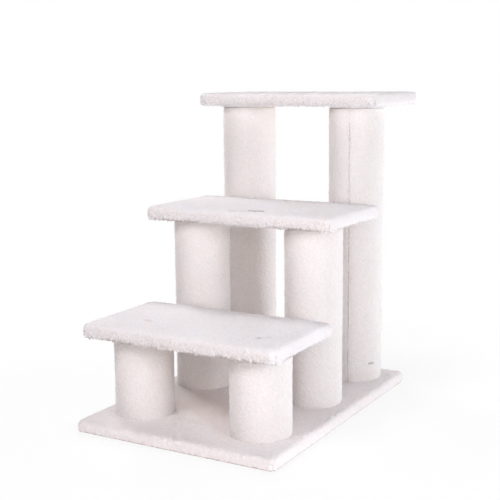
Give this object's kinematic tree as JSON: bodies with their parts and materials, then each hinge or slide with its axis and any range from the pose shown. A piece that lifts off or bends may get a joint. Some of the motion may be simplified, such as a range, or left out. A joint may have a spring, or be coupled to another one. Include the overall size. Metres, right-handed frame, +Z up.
{
  "type": "pet stairs",
  "caption": "Free-standing pet stairs: fleece-wrapped treads at rising heights on pairs of fleece-sleeved round posts over one wide base board, for pets to climb to a bed or sofa.",
  "frame": {"origin": "on the floor, under the middle of the whole object's bounding box", "axes": "+Z up, -Y the front that the pet climbs from, +X to the right as seen from the front; the left and right halves mirror each other in X but for one staple and one seam"},
  "size_m": [0.416, 0.6524, 0.61],
  "materials": {
    "fleece": "matte",
    "pressed_wood": "matte",
    "plug_wood": "matte",
    "tube_paper": "matte",
    "zinc_steel": "satin",
    "staple_wire": "satin"
  },
  "bodies": {
    "root": {"base_board": "pressed_wood", "base_cover": "fleece", "base_staples": "staple_wire", "base_bolts": "zinc_steel", "base_washers": "zinc_steel", "low_step_board": "pressed_wood", "low_step_cover": "fleece", "low_step_staples": "staple_wire", "low_step_bolts": "zinc_steel", "low_step_washers": "zinc_steel", "mid_step_board": "pressed_wood", "mid_step_cover": "fleece", "mid_step_staples": "staple_wire", "mid_step_bolts": "zinc_steel", "mid_step_washers": "zinc_steel", "top_step_board": "pressed_wood", "top_step_cover": "fleece", "top_step_staples": "staple_wire", "top_step_bolts": "zinc_steel", "top_step_washers": "zinc_steel", "low_left_post_tube": "tube_paper", "low_left_post_cover": "fleece", "low_left_post_top_plug": "plug_wood", "low_left_post_bottom_plug": "plug_wood", "low_left_post_insert_nuts": "zinc_steel", "low_right_post_tube": "tube_paper", "low_right_post_cover": "fleece", "low_right_post_top_plug": "plug_wood", "low_right_post_bottom_plug": "plug_wood", "low_right_post_insert_nuts": "zinc_steel", "mid_left_post_tube": "tube_paper", "mid_left_post_cover": "fleece", "mid_left_post_top_plug": "plug_wood", "mid_left_post_bottom_plug": "plug_wood", "mid_left_post_insert_nuts": "zinc_steel", "mid_right_post_tube": "tube_paper", "mid_right_post_cover": "fleece", "mid_right_post_top_plug": "plug_wood", "mid_right_post_bottom_plug": "plug_wood", "mid_right_post_insert_nuts": "zinc_steel", "tall_left_post_tube": "tube_paper", "tall_left_post_cover": "fleece", "tall_left_post_top_plug": "plug_wood", "tall_left_post_bottom_plug": "plug_wood", "tall_left_post_insert_nuts": "zinc_steel", "tall_right_post_tube": "tube_paper", "tall_right_post_cover": "fleece", "tall_right_post_top_plug": "plug_wood", "tall_right_post_bottom_plug": "plug_wood", "tall_right_post_insert_nuts": "zinc_steel", "tall_right_post_staple": "staple_wire"}
  },
  "joints": []
}
